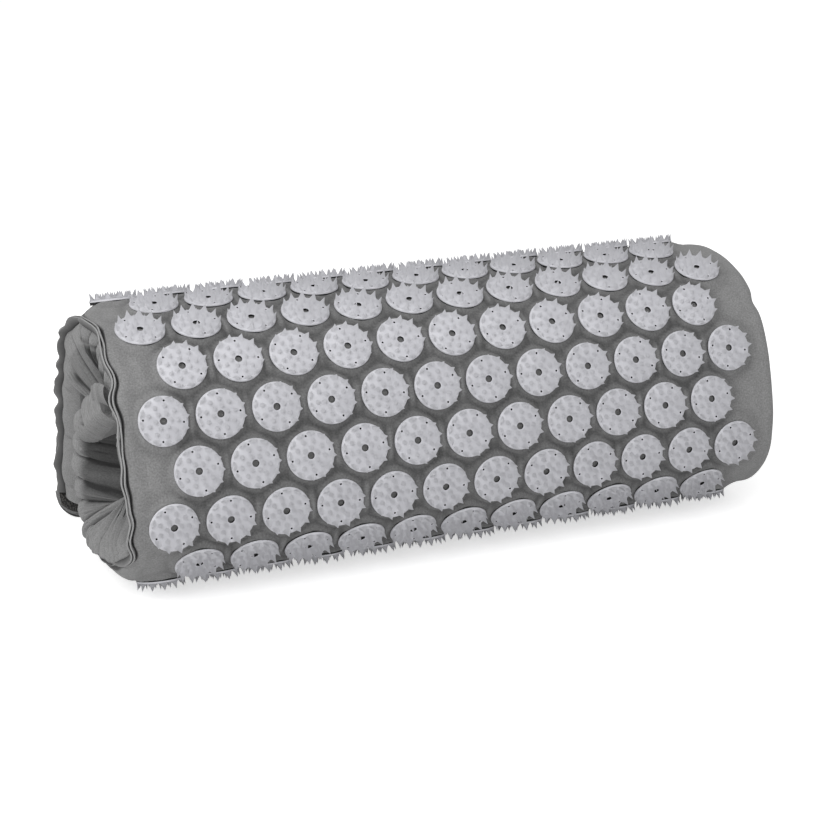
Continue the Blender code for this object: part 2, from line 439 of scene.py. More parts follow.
def wander(values, seed, wavelength, terms=6):
    """A smooth irregular wave between about -1 and 1, the same at each run."""
    rng = random.Random(seed)
    total = 0
    for _ in range(terms):
        size = wavelength * rng.uniform(0.6, 1.8)
        total = total + np.sin(np.asarray(values) * 2 * math.pi / size + rng.uniform(0, 2 * math.pi))
    return total / math.sqrt(terms) / WAVE_PEAK


def rumple(x, s, seed, size, terms=7):
    """A smooth irregular field over the cloth."""
    rng = random.Random(seed)
    total = 0
    for _ in range(terms):
        angle = rng.uniform(0, 2 * math.pi)
        pace = 2 * math.pi / (size * rng.uniform(0.6, 1.7))
        phase = rng.uniform(0, 2 * math.pi)
        total = total + np.sin((x * math.cos(angle) + s * math.sin(angle)) * pace + phase)
    return total / math.sqrt(terms) / WAVE_PEAK


def disc_positions(row):
    """X of each disc of a row; odd rows are the long ones."""
    count = LONG_ROW if row % 2 else SHORT_ROW
    return [(i - (count - 1) / 2) * discs().spacing for i in range(count)]


# The side seam's distance from the middle in mm at rows of the mat, as the roll pulls it
SEAM_PATH = (
    (-0.7, 201), (-0.45, 202), (-0.05, 205), (0.4, 203), (0.81, 203.3), (1.1, 201.5), (1.29, 204.5),
    (1.6, 201.5), (2.04, 204.5), (2.3, 201), (2.68, 203), (2.85, 200.5), (3.2, 203.5), (3.7, 203),
    (4.1, 199), (4.5, 196.5), (5.0, 197.5), (5.5, 201.5), (5.9, 207), (6.35, 207), (6.61, 202), (6.9, 202),
    (7.33, 204.3), (7.64, 206), (7.9, 204), (8.09, 201), (8.26, 203.5), (8.5, 206.8), (8.61, 206),
    (8.82, 203.2), (9.05, 204.3), (9.41, 206), (9.6, 206), (9.82, 204.6), (10.07, 206.4),
    (10.34, 203.4), (10.55, 205.8), (10.87, 202), (11.13, 206.8), (11.4, 203.5), (11.55, 201.5),
    (11.75, 203.5), (12.1, 208), (14.2, 208.5), (15, 204), (16, 200), (17.2, 201.5), (18, 200),
    (19, 201), (21, 200),
)
# How far apart, in rows, the path is read round a row, so that its corners are rounded
SEAM_TAPS = (-0.16, -0.08, 0, 0.08, 0.16)
# The right seam lies further out and is nearly straight, but for one dent
RIGHT_SEAM = 214.5 * MM
RIGHT_WANDER = 0.8 * MM
RIGHT_DENT = 1.8 * MM
RIGHT_DENT_ROW = 8.0
RIGHT_DENT_ROWS_WIDE = 0.2


def seam_half_width(s, side):
    """Distance from the middle to the side seam, which wanders where the roll pulls on it."""
    row = row_of(s)
    rows, widths = zip(*SEAM_PATH)
    taps = [np.interp(row + shift, rows, widths) for shift in SEAM_TAPS]
    fitted = sum(taps) / len(taps) * MM
    dent = RIGHT_DENT * np.exp(-((row - RIGHT_DENT_ROW) / RIGHT_DENT_ROWS_WIDE) ** 2)
    other = RIGHT_SEAM + wander(s, 37, 0.06) * RIGHT_WANDER - dent
    return fitted if side < 0 else other


# How deep the seam lies under the face cloth's level, and how much deeper where the edge rounds off
SEAM_DEPTH = 3.8 * MM
LEFT_DROP = 0.9 * MM
BOTTOM_CORNER_DROP = 7 * MM
TOP_CORNER_DROP = 2.5 * MM
RIGHT_DROP = 8 * MM
# How far in from the seam the face cloth starts to round off
LEFT_ROUND = 12 * MM
RIGHT_ROUND = 17 * MM


def edge_drop(s, side):
    """How far the mat's edge rounds down: on the left most at the roll's corners, on the right all along."""
    row = row_of(s)
    bottom = smooth(row, 11.4, 12.5) * (1 - smooth(row, 14.2, 15.5))
    top = smooth(row, 3.3, 4.2) * (1 - smooth(row, 5.5, 6.3))
    left = LEFT_DROP + BOTTOM_CORNER_DROP * bottom + TOP_CORNER_DROP * top
    return np.where(side < 0, left, RIGHT_DROP)


def seam_level(s, side):
    """The seam's height over the bend line layer."""
    return cloth().face_height - SEAM_DEPTH - edge_drop(s, side)


# A pulled-up ridge of cloth in the gap between two discs, with a valley on each side
RIDGE_RISE = 2.8 * MM
RIDGE_WIDTH = 2.1 * MM
RIDGE_REACH = 9.5 * MM
# Painted shade of the sunk cloth between the discs, and how much of it a ridge takes off, so that the ridge
# looks lit
GAP_SHADE = 0.37
RIDGE_LIGHT = 0.36


def discs_in(row):
    """How many discs each of an array of rows has."""
    return np.where(row % 2 == 1, LONG_ROW, SHORT_ROW)


def ridges(x, s):
    """Ridges that the roll's tension pulls up between neighbouring discs, from row to row."""
    d = discs()
    row = np.clip(np.round(s / d.row_spacing) + 1, 1, ROWS)
    count = discs_in(row)
    gap_number = np.round(x / d.spacing + count / 2)
    middle = (gap_number - count / 2) * d.spacing
    sway = np.sin(row * 7.13 + gap_number * 3.7)
    along = s - (row - 1) * d.row_spacing
    across = x - middle - sway * 0.05 * along
    size = 0.75 + 0.25 * np.sin(row * 5.1 + gap_number * 11.3)
    peak = np.exp(-(across / RIDGE_WIDTH) ** 2) - 0.62 * np.exp(-(across / (2.4 * RIDGE_WIDTH)) ** 2)
    peak = peak * ((gap_number > 0.5) & (gap_number < count - 0.5))
    return peak * np.exp(-(along / RIDGE_REACH) ** 4) * RIDGE_RISE * size


# How far from a disc its puckers fade and the cloth has sunk, and how high puckers and rumples stand
PUCKER_REACH = 3.2 * MM
SINK_REACH = 2.2 * MM
PUCKER_RISE = 0.22 * MM
RUMPLE_RISE = 0.18 * MM
# Half of the length over which a bend is rounded under a disc, which keeps the cloth flat
DISC_BEND = 4.5 * MM
# Where the groove next to the seam starts and ends, from the seam inwards
GROOVE = (0.2 * MM, 1.2 * MM)
# Where the painted shade between discs starts, is full and ends, from a disc's rim outwards
SHADE_START = (-1.5 * MM, 0.5 * MM)
SHADE_END = (4.5 * MM, 11 * MM)


def quilt_height(x, s, side_width):
    """Height of the face cloth over its flat level, how far a bend is rounded there, and its painted crease
    shade.

    Discs hold the cloth flat; between them it sinks and puckers, and along the seam it rounds off.
    """
    d, c = discs(), cloth()
    radius = d.diameter / 2
    near_row = np.clip(np.round(s / d.row_spacing) + 1, 1, ROWS)
    nearest = np.full(np.broadcast(x, s).shape, 1.0)
    pulls = np.zeros_like(nearest)
    for step in (-1, 0, 1):
        row = np.clip(near_row + step, 1, ROWS)
        count = discs_in(row)
        slot = np.round(x / d.spacing + (count - 1) / 2)
        slot = np.clip(slot, 0, count - 1)
        across = x - (slot - (count - 1) / 2) * d.spacing
        along = s - (row - 1) * d.row_spacing
        away = np.hypot(across, along)
        phase = np.sin(row * 12.9898 + slot * 78.233) * 43.0
        folds = np.sin(np.arctan2(along, across) * 7 + phase)
        pulls += folds * np.exp(-np.clip(away - radius, 0, 1) / PUCKER_REACH) * (away > radius - 1 * MM)
        nearest = np.minimum(nearest, away)
    gap = np.clip(nearest - radius, 0, None)
    edge = side_width - np.abs(x)
    inside = smooth(edge, 3 * MM, 12 * MM)
    sink = (1 - np.exp(-(gap / SINK_REACH) ** 2)) * c.quilt_sink * inside
    ridge = ridges(x, s)
    swell = -sink * (1 + 0.2 * rumple(x, s, 5, 0.05)) + ridge * inside
    crease = pulls * PUCKER_RISE
    soft = rumple(x, s, 11, 0.028) * RUMPLE_RISE * smooth(gap, 0, 4 * MM)
    groove = SEAM_DEPTH * (1 - smooth(edge, *GROOVE))
    left = (1 - smooth(edge, 0, LEFT_ROUND)) ** 2
    right = 1 - np.sqrt(1 - np.clip(1 - edge / RIGHT_ROUND, 0, 1) ** 2)
    valley = -groove - edge_drop(s, x) * np.where(x < 0, left, right)
    held = np.maximum(smooth(gap, 1 * MM, 8 * MM), 1 - smooth(edge, 0, 5 * MM))
    reach = DISC_BEND + (c.bend_round - DISC_BEND) * held
    # Painted shade between the discs, less beyond a row's last disc and lighter on the ridges
    last_disc = (5.25 + 0.25 * np.cos(np.pi * s / d.row_spacing)) * d.spacing
    beyond = smooth(np.abs(x) - last_disc, -2 * MM, 9 * MM)
    between = smooth(gap, *SHADE_START) * (1 - smooth(gap, *SHADE_END)) * (1 - 0.75 * beyond)
    shade = between * (GAP_SHADE - RIDGE_LIGHT * np.clip(2.2 * ridge / RIDGE_RISE, -0.5, 1))
    return swell + crease + soft + valley, reach, np.clip(shade, 0, 1)


# How far the side cloth swells out past the seam in mm, at rows of the mat
SIDE_BULGE = (
    (-0.7, 4), (4, 4), (7, 4.5), (9, 2), (11.5, 2), (13, 5), (14.5, 7), (16, 8.5), (20, 8.5), (21, 6))


def side_bulge(s):
    """How far the gathered side stands out past the seam."""
    rows, bulges = zip(*SIDE_BULGE)
    return np.interp(row_of(s), rows, bulges) * MM


def puffs(s, valleys, seed):
    """Rounded puffs of cloth with a narrow valley between every two, from 0 to 1."""
    rng = random.Random(seed)
    valleys = np.asarray(valleys)
    sizes = np.array([rng.uniform(0.75, 1.0) for _ in valleys])
    found = np.clip(np.searchsorted(valleys, s) - 1, 0, len(valleys) - 2)
    share = (s - valleys[found]) / (valleys[found + 1] - valleys[found])
    return np.clip(1 - np.abs(2 * share - 1) ** 2.3, 0, 1) ** 0.62 * sizes[found]


# Where the valleys start and end: a little beyond the mat's two ends
VALLEYS_FROM = -0.08
VALLEYS_TO = 0.72


def uneven_valleys(seed, pitch):
    """Valleys all along the mat, about a pitch apart."""
    rng = random.Random(seed)
    valleys = [VALLEYS_FROM]
    while valleys[-1] < VALLEYS_TO:
        valleys.append(valleys[-1] + pitch * rng.uniform(0.65, 1.4))
    return valleys


# Where the largest valleys of the gathered left side lie, as rows of the mat
LEFT_VALLEYS = (
    -2, -0.3, 0.9, 2.1, 3.1, 3.9, 4.6, 5.1, 5.55, 6.0, 6.4, 6.75, 7.15, 7.6, 8.1, 8.5, 9.0, 9.45, 9.9,
    10.4, 10.9, 11.3, 11.75, 12.2, 12.6, 13.0, 13.5, 14.0, 14.6, 15.05, 15.45, 15.9, 16.5, 17.1,
    17.72, 18.2, 19.25, 20.2, 20.9, 22.4,
)


PUFF_PITCH = 12.5 * MM
SMALL_FOLD_PITCH = 5.5 * MM


def gathers(s, side, shift):
    """The pushed-out height of the gathered cloth from about -0.5 to 0.5, with small folds on large puffs."""
    valleys = LEFT_VALLEYS if side < 0 else [row_of(v) for v in uneven_valleys(73, PUFF_PITCH)]
    large = puffs(row_of(s) + shift / discs().row_spacing, valleys, 5)
    small = puffs(s - 0.8 * shift, uneven_valleys(77 if side < 0 else 79, SMALL_FOLD_PITCH), 7)
    return large - 0.6 + (small - 0.5) * 0.22


# Where the gathered side turns over into the end of the roll, as a share of its way from seam to back
TURN_SHARE = 0.42
# How high the gathered cloth's puffs stand
FOLD_RISE = 5.0 * MM
# The left end is drawn in behind the seam at the front, where the roll's turns press on it
POCKET_DEPTH = 12 * MM
# How much fuller the side is on the mat's inner turn, and still more at its inner end
LOBE_RISE = 5.5 * MM
# How far the side's folds slant along the mat, and the angle over which the puffs fan out
FOLD_SLANT = 6 * MM
PUFF_FAN = 2.6
INNER_LOBE_RISE = 3 * MM


def pocket(row, side):
    """How much a row's gathered cloth is drawn in behind the seam, from 0 to 1."""
    return smooth(row, 8.6, 9.3) * (1 - smooth(row, 10.6, 11.8)) * (side < 0)


def side_surface(s, t, side):
    """The gathered side of the cover: t is 0 at the seam and 1 at the edge of the back cloth."""
    c = cloth()
    row = row_of(s)
    seam = seam_half_width(s, side)
    bulge = side_bulge(s)
    round_out = np.sin(np.pi * np.clip(t, 0, 1)) ** 0.75
    reach = seam * (1 - t) + c.back_half_width * t + bulge * round_out
    depth = seam_level(s, side) * (1 - t) - c.back_depth * t
    lobe = smooth(row, 13.2, 15.5)
    puffed = lobe * LOBE_RISE + smooth(row, 18.6, 20) * INNER_LOBE_RISE
    depth = depth + puffed * np.sin(np.pi * np.clip(t / 0.55, 0, 1)) * (t < 0.55)
    slant = (t - TURN_SHARE) * FOLD_SLANT * wander(s, 5, 0.09)
    strength = (0.3 + 0.7 * smooth(row, 4, 6)) * np.sin(np.pi * np.clip(t, 0, 1)) ** 0.6
    push = gathers(s, side, slant) * FOLD_RISE * strength
    drawn_in = POCKET_DEPTH * pocket(row, side) * smooth(t, 0, 0.4)
    reach = reach + push * np.cos((t - TURN_SHARE) * PUFF_FAN) - drawn_in
    depth = depth + push * np.sin((TURN_SHARE - t) * PUFF_FAN) * 0.9
    return reach * side, depth


# The slack back cloth closes the roll's ends: it sinks towards an upright line in the roll's core
CORE_Y = -0.014
CORE_LOW = 0.046
CORE_HIGH = 0.092
# How far the folds of the end swerve along the mat, and how far they rise and fall, at the core
END_SWERVE = 9 * MM
END_DROP = 2 * MM


def core_of(rim):
    """The height of the core next to a point of the rim, and how far out the cloth comes there."""
    c = cloth()
    core_z = np.clip(rim[..., 2], CORE_LOW, CORE_HIGH)
    up = (core_z - CORE_LOW) / (CORE_HIGH - CORE_LOW)
    return core_z, c.half_width - c.funnel_depth * (0.45 + 0.7 * np.sin(np.pi * up))


def sink_to_core(rim, crest, share, fullness):
    """How far out the end's cloth comes and its y and z, on its way from the rim (share 1) to the core."""
    core_z, floor = core_of(rim)
    reach = floor + (crest - floor) * np.sin(np.pi / 2 * share) ** fullness
    y = CORE_Y + (rim[..., 1] - CORE_Y) * share
    z = core_z + (rim[..., 2] - core_z) * share
    return reach, y, z


def fold_bend(s, share):
    """How far the folds of the end swerve along the mat on their way to the core."""
    return (1 - share) * END_SWERVE * wander(s, 9, 0.11)


def end_surface(s, share, side):
    """The gathered cloth over the roll's end: share is 1 where the side turns over and 0 at the core."""
    x, height = side_surface(s, TURN_SHARE + 0 * s, side)
    rim = roll_line().lift(x, s, height)
    row = row_of(s)
    crest = np.abs(x) - gathers(s, side, 0 * s) * FOLD_RISE
    steep = smooth(row, 3, 6) * (1 - smooth(row, 11.4, 12.8))
    reach, y, z = sink_to_core(rim, crest, share, 1.15 + 2.4 * steep)
    strength = np.clip(share, 0, 1) ** 0.8 * (1 + 0.5 * np.sin(np.pi * share))
    reach = reach + gathers(s, side, fold_bend(s, share)) * FOLD_RISE * strength
    behind = POCKET_DEPTH * pocket(row, side) * (1 - smooth(share, 0.62, 1.0))
    reach = reach + behind * np.sin(np.pi / 2 * share)
    drop = (1 - share) * END_DROP * wander(s + share * 0.01, 13, 0.03)
    return np.stack([reach * side, y, z + drop], axis=-1)


# How much painted shade lies between the folds next to the roll's core, at rows of the mat's inner turn
CORE_SHADE = (
    (15.9, 0), (16.35, 0.3), (16.6, 0.9), (16.8, 0.55), (17.05, 0.95), (17.35, 0.75), (17.75, 1), (18.7, 1),
    (19.0, 0.8), (19.25, 1), (19.45, 0.3), (20, 0),
)


def line_shade(away, width):
    """Shade of a narrow fold, full where away is 0."""
    return np.exp(-(away / width) ** 2)


def end_shade(s, share, side):
    """Painted crease shade of the roll's left end, darkening the cloth where little light gets in between the
    turns and folds.

    The lower rows' cloth lies back of the seam, where painted shade draws a cavity, a slit and two folds.
    behind is the painted shade of the pocket at the front, and core that of the hollows between the folds of
    the inner turn.
    """
    row = row_of(s)
    fold = np.clip(0.5 - gathers(s, side, fold_bend(s, share)), 0, 1)
    behind = pocket(row, side) * smooth(share, 0.6, 0.97) * (0.5 + 0.5 * fold)
    far_in = 1 - share
    lower = smooth(row, 2.2, 3.0) * (1 - smooth(row, 7.3, 7.8))
    middle = 0.3 * smooth(far_in, 0.1, 0.16) * lower
    cavity_from = 0.15 - 0.13 * smooth(row, 5.7, 6.3)
    cavity = 0.98 * smooth(far_in, cavity_from, cavity_from + 0.1) * smooth(row, 5.2, 5.9) * lower
    slit_at = np.clip(0.13 * (7 - row) / 2.3, 0.02, 0.13)
    slit_rows = smooth(row, 4.5, 4.9) * (1 - smooth(row, 6.8, 7.2))
    slit = 0.6 * line_shade(far_in - slit_at, 0.03) * slit_rows
    first = 0.95 * line_shade(row - 2.7 - 0.9 * far_in, 0.2) * smooth(far_in, 0.1, 0.3)
    second = 0.9 * line_shade(row - 2.3 - 0.3 * far_in, 0.1) * smooth(far_in, 0.12, 0.25)
    core = np.interp(row, *zip(*CORE_SHADE)) * smooth(far_in, 0.13, 0.34) * (0.86 + 0.14 * fold)
    return np.maximum.reduce([behind * 0.95, middle, cavity, slit, first, second, core * 0.98]) * (side < 0)


# Where the bridging puff starts and ends along the mat, and how its edge arches between
INNER_END_GAP = 2 * MM
BRIDGE_OVERLAP = 16 * MM
BRIDGE_ROWS_ALONG = 7.0
BRIDGE_ARCH = (0.0, 4 * MM, 11 * MM)


def bridge_surface(u, share, side):
    """The first puff of the end: it bridges from the mat's inner end (u 0) to the front of the roll (u 1)."""
    start = np.full(share.shape, roll_line().end - INNER_END_GAP - BRIDGE_OVERLAP)
    finish = np.full(share.shape, BRIDGE_ROWS_ALONG * discs().row_spacing)
    first = end_surface(start, np.ones_like(share), side)
    last = end_surface(finish, np.ones_like(share), side)
    rim = first * (1 - u)[..., None] ** 2 + last * (u ** 2)[..., None]
    middle = (first + last) / 2 + np.array(BRIDGE_ARCH)
    rim = rim + middle * (2 * u * (1 - u))[..., None]
    crest = np.abs(rim[..., 0]) + 1.5 * MM + 2.5 * MM * np.sin(np.pi * u) + 2 * MM * u
    crest = crest + 0.5 * MM * wander(u * 0.05, 17, 0.012)
    fullness = 1.1 + 0.3 * u - 0.7 * np.sin(np.pi * u)
    reach, y, z = sink_to_core(rim, crest, share, fullness)
    return np.stack([reach * side, y, z], axis=-1)


# Meshes of the cloth

def mesh_object(name, points, faces, normals, uvs, painted_crease_shades, materials, face_materials):
    """A mesh object from points, quads and, for each point, a normal, a UV pair and a painted crease shade
    value.
    """
    mesh = bpy.data.meshes.new(name)
    mesh.from_pydata(points, [], faces)
    mesh.polygons.foreach_set("use_smooth", [True] * len(mesh.polygons))
    mesh.polygons.foreach_set("material_index", face_materials)
    for finish in materials:
        mesh.materials.append(finish)
    corners = np.empty(len(mesh.loops), int)
    mesh.loops.foreach_get("vertex_index", corners)
    mesh.uv_layers.new(name="cloth").data.foreach_set("uv", np.asarray(uvs)[corners].ravel())
    mesh.attributes.new("crease_shade", "FLOAT", "POINT").data.foreach_set("value", painted_crease_shades)
    mesh.update()
    mesh.normals_split_custom_set_from_vertices([tuple(n) for n in normals])
    made = bpy.data.objects.new(name, mesh)
    bpy.context.collection.objects.link(made)
    return made


# Lines that a grid has beyond each end in its first direction, so that its neighbours match there
GHOSTS = 4
# Depth between neighbours that counts as a full crease, for the painted shade of hollows
HOLLOW_DEPTH = 1.0 * MM


def hollowness(grid, normals):
    """How deep each point lies between the cloth around it, from 0 to 1."""
    total = 0
    for step in (2, 4):
        wide = np.pad(grid, ((step, step), (step, step), (0, 0)), mode="edge")
        inner = slice(step, -step)
        ahead, behind = slice(2 * step, None), slice(None, -2 * step)
        around = wide[ahead, inner] + wide[behind, inner] + wide[inner, ahead] + wide[inner, behind]
        total = total + np.sum((around / 4 - grid) * normals, axis=-1) / 2
    return np.clip(total / HOLLOW_DEPTH, 0, 1)


class Patchwork:
    """Grids of points that are gathered into one mesh."""

    def __init__(self):
        self.points, self.normals, self.uvs, self.faces, self.finishes = [], [], [], [], []
        self.painted_crease_shades = []
        self.count = 0

    def add(self, grid, uv, outward, finish=0, crease=0.0, hollow=1.0):
        """A grid of points with ghost lines beyond both ends of its first direction.

        outward is 1 or -1, whichever makes the faces look out, crease is painted shade that is known
        beforehand, and hollow is how much the painted shade of its hollows counts.
        """
        along = np.gradient(grid, axis=0)
        across = np.gradient(grid, axis=1)
        normals = np.cross(along, across) * outward
        normals /= np.maximum(np.linalg.norm(normals, axis=-1, keepdims=True), 1e-12)
        if hollow:
            crease = crease + hollow * hollowness(grid, normals)
        crease = np.clip(crease + np.zeros(grid.shape[:2]), 0, 1)
        kept = slice(GHOSTS, -GHOSTS)
        grid, normals, uv, crease = grid[kept], normals[kept], uv[kept], crease[kept]
        rows, columns = grid.shape[:2]
        index = np.arange(rows * columns).reshape(rows, columns) + self.count
        quads = np.stack([index[:-1, :-1], index[1:, :-1], index[1:, 1:], index[:-1, 1:]], axis=-1)
        quads = quads.reshape(-1, 4)
        if outward < 0:
            quads = quads[:, ::-1]
        self.points.append(grid.reshape(-1, 3))
        self.normals.append(normals.reshape(-1, 3))
        self.uvs.append(uv.reshape(-1, 2))
        self.painted_crease_shades.append(crease.ravel())
        self.faces.extend(quads.tolist())
        self.finishes.extend([finish] * len(quads))
        self.count += rows * columns

    def make(self, name, materials):
        """The mesh object of all the grids."""
        return mesh_object(
            name, np.concatenate(self.points), self.faces, np.concatenate(self.normals),
            np.concatenate(self.uvs), np.concatenate(self.painted_crease_shades), materials, self.finishes)


# Steps along the mat of the face, the side and its seam lips, the back and the ends
FACE_STEP = 1.5 * MM
SIDE_STEP = 1.0 * MM
BACK_STEP = 3 * MM
END_STEP = 0.9 * MM


def stations(low, high, step):
    """Distances from low to high in about that step, with ghost lines beyond both ends."""
    count = max(2, round((high - low) / step))
    pace = (high - low) / count
    return low + pace * np.arange(-GHOSTS, count + 1 + GHOSTS)


def face_grid(low, high):
    """The face cloth from one side seam to the other, with finer columns along the seams."""
    c = cloth()
    s = stations(low, high, FACE_STEP)[:, None]
    edge = np.linspace(0.95, 1, 26)
    share = np.concatenate([-edge[::-1], np.linspace(-0.95, 0.95, 241)[1:-1], edge])[None, :]
    left, right = seam_half_width(s, -1), seam_half_width(s, 1)
    width = np.where(share < 0, left, right)
    x = share * c.half_width + np.sign(share) * (width - c.half_width) * smooth(np.abs(share), 0.9, 1)
    rise, reach, shade = quilt_height(x, s, width)
    s_full = np.broadcast_to(s, x.shape)
    points = roll_line().lift(x, s_full, c.face_height + rise, reach)
    edge = width - np.abs(x)
    # Painted shade down in the groove next to the seam, together with the painted shade between the discs
    face_painted_shade = 1 - smooth(edge, 0.7 * MM, 1.3 * MM)
    return points, np.stack([x, s_full], axis=-1), np.maximum(face_painted_shade, shade)


def side_grid(low, high, side):
    """One gathered side, from the seam to the edge of the back cloth."""
    s = stations(low, high, SIDE_STEP)[:, None]
    t = np.linspace(0, 1, 26)[None, :]
    x, height = side_surface(s, t, side)
    s_full = np.broadcast_to(s, x.shape)
    # Painted shade in the pocket next to the seam
    shade = pocket(row_of(s), side) * smooth(t, 0, 0.12) * 0.85
    uv = np.stack([x - side * t * 20 * MM, s_full], axis=-1)
    return roll_line().lift(x, s_full, height), uv, shade


def back_grid(low, high):
    """The plain back cloth, soft and slightly wavy."""
    c = cloth()
    s = stations(low, high, BACK_STEP)[:, None]
    x = np.linspace(-c.back_half_width, c.back_half_width, 81)[None, :]
    edge = smooth(c.back_half_width - np.abs(x), 0, 15 * MM)
    wave = rumple(x, s, 21, 0.06) * 0.5 * MM * edge
    s_full = np.broadcast_to(s, np.broadcast(x, s).shape)
    x = np.broadcast_to(x, s_full.shape)
    height = -c.back_depth + wave
    return roll_line().lift(x, s_full, height), np.stack([x + 1.0, s_full], axis=-1)


# How far the seam allowance leans out on the left and the right, and how much further on the roll's back
LEFT_LIP_LEAN = math.radians(14)
RIGHT_LIP_LEAN = math.radians(108)
BACK_LIP_LEAN = math.radians(62)
# Cross-section of one layer of the seam allowance: shares of its thickness and height, and their painted
# shade, full at the lip's foot
LIP_OUTLINE = ((0, 0), (0, 1), (0.25, 1.06), (0.75, 1.06), (1, 1), (1, 0))
LIP_SHADE = (1, 0.45, 0, 0, 0.45, 1)
# How far inside the seam the allowance starts, how far it sways, and the gap between its layers
LIP_INSET = 0.6 * MM
LIP_SWAY = 0.3 * MM
LIP_GAP = 0.35 * MM
LIP_GAP_SPREAD = 0.25 * MM


def lip_grid(low, high, side, layer):
    """One layer of the seam allowance, a narrow band round its four faces; layer 0 is the face cloth's."""
    c = cloth()
    s = stations(low, high, SIDE_STEP)[:, None]
    seam = seam_half_width(s, side)
    wave = wander(s, 41 + layer if side < 0 else 51 + layer, 0.024)
    row = row_of(s)
    ragged = wander(s, 71, 0.017) * (1 - smooth(row, 4.0, 4.8)) * MM
    if side < 0:
        folded = smooth(row, 4.1, 4.7) * (1 - smooth(row, 5.6, 6.4))
        tucked = smooth(row, 11.8, 12.4)
        lean = LEFT_LIP_LEAN + 0.1 * wander(s, 61, 0.05) + 0.6 * folded
        lean = lean + BACK_LIP_LEAN * (1 - smooth(row, 3.6, 4.4))
    else:
        folded = 0 * row
        tucked = 0.5 + 0 * row
        lean = RIGHT_LIP_LEAN + 0.1 * wander(s, 67, 0.05)
    gap = LIP_GAP + LIP_GAP_SPREAD * (1 + wander(s, 45, 0.03))
    inner = layer * (c.lip_thickness + gap)
    rise = SEAM_DEPTH * (1 - 0.5 * folded) + c.lip_height * (1 - folded) + LIP_SWAY * wave + ragged
    rise = rise * (1 - 0.9 * tucked)
    xs, heights = [], []
    for across, up in LIP_OUTLINE:
        out = inner + across * c.lip_thickness
        reach = up * rise
        sway = wave * LIP_SWAY * up
        xs.append(seam - LIP_INSET + out * np.cos(lean) + reach * np.sin(lean) + sway)
        heights.append(seam_level(s, side) - out * np.sin(lean) * 0.6 + reach * np.cos(lean))
    x = np.concatenate(xs, axis=1) * side
    height = np.concatenate(heights, axis=1)
    s_full = np.broadcast_to(s, x.shape)
    across = np.arange(x.shape[1])[None, :] * 1.3 * MM
    uv = np.stack([np.broadcast_to(across + 2 + layer * 0.1, x.shape), s_full], axis=-1)
    return roll_line().lift(x, s_full, height), uv, np.array(LIP_SHADE)[None, :]


# How far the mat's inner end swells out, and its tail end, where the flap folds against it
INNER_SWELL = 5 * MM
TAIL_SWELL = 1 * MM


def cap_grid(s, way):
    """The cover's end at a distance along the mat, rounded over from the face to the back."""
    c = cloth()
    v = stations(0, 1, 0.06)[:, None]
    share = np.linspace(-1, 1, 161)[None, :]
    inside = np.clip(v, 0, 1)
    s_all = np.full(v.shape, s)
    left, side_left = side_surface(s_all, inside, -1)
    right, side_right = side_surface(s_all, inside, 1)
    x = np.where(share < 0, -share * left, share * right)
    side_height = np.where(share < 0, side_left, side_right)
    width = np.where(share < 0, -seam_half_width(s_all, -1), seam_half_width(s_all, 1))
    rise, _, _ = quilt_height(x, s + 0 * x, np.abs(width))
    middle = (c.face_height + rise) * (1 - v) - c.back_depth * v
    at_edge = smooth(np.abs(share), 0.95, 1)
    height = middle * (1 - at_edge) + side_height * at_edge
    swell = (INNER_SWELL if way > 0 else TAIL_SWELL) * np.sin(np.pi * v) * (1 - np.abs(share) ** 24)
    swell = swell * (1 + 0.25 * wander(x, 91, 0.04))
    points = roll_line().lift(x, s + way * swell, height)
    return points, np.stack([x + 4, np.broadcast_to(v * 0.02, x.shape)], axis=-1)


def cover_section(name, low, high):
    """The whole cover from one distance along the mat to another: face, back, sides and seam lips."""
    work = Patchwork()
    line = roll_line()
    for edge, way in ((line.start, -1), (line.end, 1)):
        if edge in (low, high):
            grid, uv = cap_grid(edge, way)
            work.add(grid, uv, -way)
    grid, uv, face_painted_shade = face_grid(low, high)
    work.add(grid, uv, 1, crease=face_painted_shade, hollow=0.3)
    grid, uv = back_grid(low, high)
    work.add(grid, uv, -1)
    for side in (-1, 1):
        grid, uv, shade = side_grid(low, high, side)
        work.add(grid, uv, side, crease=shade)
        for layer in (0, 1):
            grid, uv, lip_painted_shade = lip_grid(low, high, side, layer)
            work.add(grid, uv, side, 1, crease=lip_painted_shade, hollow=0)
    finishes = [material_of("cotton_plain_weave"), material_of("cotton_cut_edge")]
    return work.make(name, finishes)


# How wide the cloth of an end is, from rim to core, as its weave is laid out
END_CLOTH = 45 * MM


def rim_to_core(along):
    """Grids of the places along an end's rim and of the shares from its rim (1) to the core (0)."""
    share = np.linspace(1, 0, 44)[None, :] ** 0.9
    return np.broadcast_arrays(along[:, None], share)


def end_section(name, low, high, side):
    """A stretch of the gathered cloth that closes the roll's end."""
    s, share = rim_to_core(stations(low, high, END_STEP))
    uv = np.stack([(1 - share) * END_CLOTH + 3, s], axis=-1)
    work = Patchwork()
    work.add(end_surface(s, share, side), uv, side, crease=end_shade(s, share, side))
    return work.make(name, [material_of("cotton_plain_weave")])


def bridge_section(name, side):
    """The puff between the inner end and the front."""
    u, share = rim_to_core(stations(0, 1, 0.02))
    uv = np.stack([(1 - share) * END_CLOTH + 3.5, u * 0.05], axis=-1)
    work = Patchwork()
    work.add(bridge_surface(u, share, side), uv, side)
    return work.make(name, [material_of("cotton_plain_weave")])


# The first segment whose slack cloth turns in over the roll's end
FIRST_CLOSED_SEGMENT = 2


